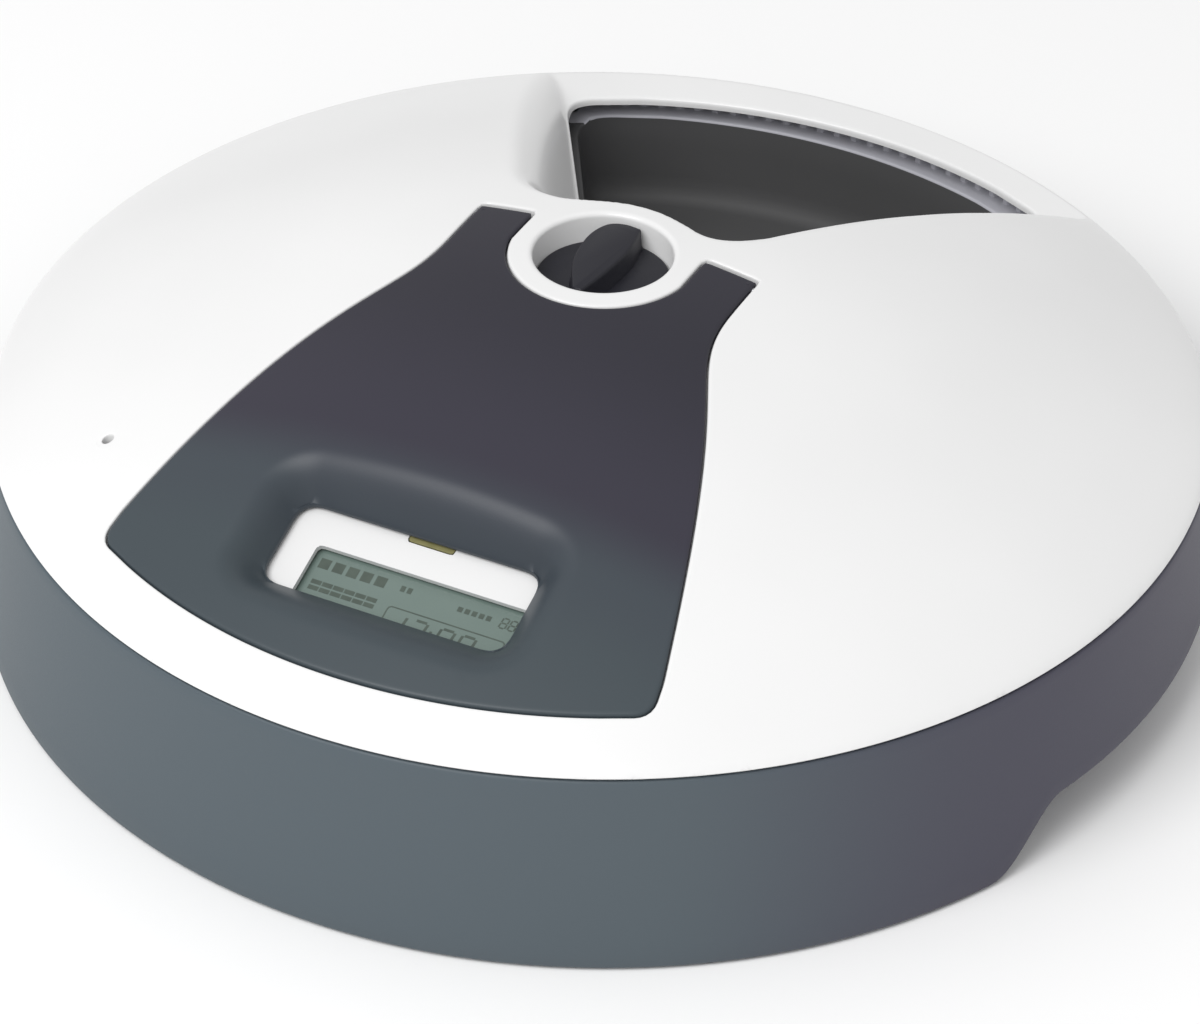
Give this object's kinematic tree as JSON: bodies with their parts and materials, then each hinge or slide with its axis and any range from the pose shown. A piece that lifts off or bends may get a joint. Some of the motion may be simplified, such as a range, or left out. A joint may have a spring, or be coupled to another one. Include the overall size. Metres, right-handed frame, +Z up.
{
  "type": "automatic pet feeder",
  "caption": "Round timed pet feeder: a compartment tray turns under a domed lid with a feeding opening, a lock knob and a hinged cover over the clock.",
  "frame": {"origin": "on the floor under the middle of the round base", "axes": "+Z up, +Y towards the feeding opening, -Y towards the control panel, +X the pet's left side of the feeder"},
  "size_m": [0.3168, 0.32, 0.0949],
  "materials": {
    "lid_white": "satin moulded, glossy on the dome",
    "base_slate": "fine satin",
    "flap_dark": "fine satin",
    "tray_charcoal": "satin",
    "knob_dark": "satin",
    "button_grey": "satin",
    "foot_rubber": "matt",
    "steel": "plated",
    "display_glass": "clear",
    "board_green": "solder mask",
    "natural_nylon": "moulded, unpainted",
    "cell_jacket": "plastic film over steel",
    "lens_amber": "translucent"
  },
  "bodies": {
    "base": {"base_shell": "base_slate", "foot_1": "foot_rubber", "foot_2": "foot_rubber", "foot_3": "foot_rubber", "foot_4": "foot_rubber", "centre_post": "natural_nylon", "post_screw_1": "steel", "post_screw_2": "steel", "post_screw_3": "steel", "thrust_washer": "natural_nylon"},
    "tray": {"food_tray": "tray_charcoal", "index_magnet": "steel"},
    "lid": {"lid_shell": "lid_white", "lid_liner": "lid_white", "hinge_pin_left": "steel", "hinge_pin_right": "steel", "lcd_glass": "display_glass", "lcd_backing": "lid_white", "circuit_board": "board_green", "button_switch_1": "knob_dark", "button_switch_2": "knob_dark", "button_switch_3": "knob_dark", "button_switch_4": "knob_dark", "button_switch_5": "knob_dark", "low_battery_lens": "lens_amber", "microphone": "steel", "speaker": "knob_dark", "liner_screw_1": "steel", "liner_screw_2": "steel", "liner_screw_3": "steel", "liner_screw_4": "steel", "battery_1": "cell_jacket", "battery_2": "cell_jacket", "battery_3": "cell_jacket", "battery_4": "cell_jacket", "battery_contact_1": "steel", "battery_contact_2": "steel", "gearbox": "natural_nylon", "drive_motor": "steel", "position_sensor": "knob_dark"},
    "knob": {"lock_knob": "knob_dark", "knob_shaft": "natural_nylon", "shaft_screw": "steel"},
    "flap": {"display_cover": "flap_dark"},
    "battery_door": {"battery_door": "lid_white"},
    "pinion": {"drive_shaft": "steel", "drive_pinion": "natural_nylon"},
    "button_1": {"button_1": "button_grey"},
    "button_2": {"button_2": "button_grey"},
    "button_3": {"button_3": "button_grey"},
    "button_4": {"button_4": "button_grey"},
    "button_5": {"button_5": "button_grey"}
  },
  "joints": [
    {"name": "tray_spin", "type": "hinge", "parent": "base", "child": "tray", "pos_m": [0, 0, 0.03], "axis": [0, 0, 1], "continuous": true},
    {"name": "lid_lift", "type": "slide", "parent": "base", "child": "lid", "axis": [0, 0, 1], "range_m": [0, 0.12]},
    {"name": "knob_turn", "type": "hinge", "parent": "lid", "child": "knob", "pos_m": [0, 0, 0.085], "axis": [0, 0, 1], "range_deg": [0, 90]},
    {"name": "cover_flap", "type": "hinge", "parent": "lid", "child": "flap", "pos_m": [0, 0.006, 0.0917], "axis": [-1, 0, 0], "range_deg": [0, 95]},
    {"name": "battery_door_slide", "type": "slide", "parent": "lid", "child": "battery_door", "axis": [1, 0, 0], "range_m": [0, 0.006]},
    {"name": "pinion_spin", "type": "hinge", "parent": "lid", "child": "pinion", "pos_m": [-0.12998, -0.04731, 0.05], "axis": [0, 0, 1], "continuous": true},
    {"name": "button_1_press", "type": "slide", "parent": "lid", "child": "button_1", "axis": [0, 0.3486, -0.9373], "range_m": [0, 0.0009], "stiffness_N_per_m": 400},
    {"name": "button_2_press", "type": "slide", "parent": "lid", "child": "button_2", "axis": [0, 0.3486, -0.9373], "range_m": [0, 0.0009], "stiffness_N_per_m": 400},
    {"name": "button_3_press", "type": "slide", "parent": "lid", "child": "button_3", "axis": [0, 0.3486, -0.9373], "range_m": [0, 0.0009], "stiffness_N_per_m": 400},
    {"name": "button_4_press", "type": "slide", "parent": "lid", "child": "button_4", "axis": [0, 0.3486, -0.9373], "range_m": [0, 0.0009], "stiffness_N_per_m": 400},
    {"name": "button_5_press", "type": "slide", "parent": "lid", "child": "button_5", "axis": [0, 0.3486, -0.9373], "range_m": [0, 0.0009], "stiffness_N_per_m": 400}
  ],
  "couplings": [
    {"joint": "pinion_spin", "follows": "tray_spin", "ratio": 15}
  ]
}
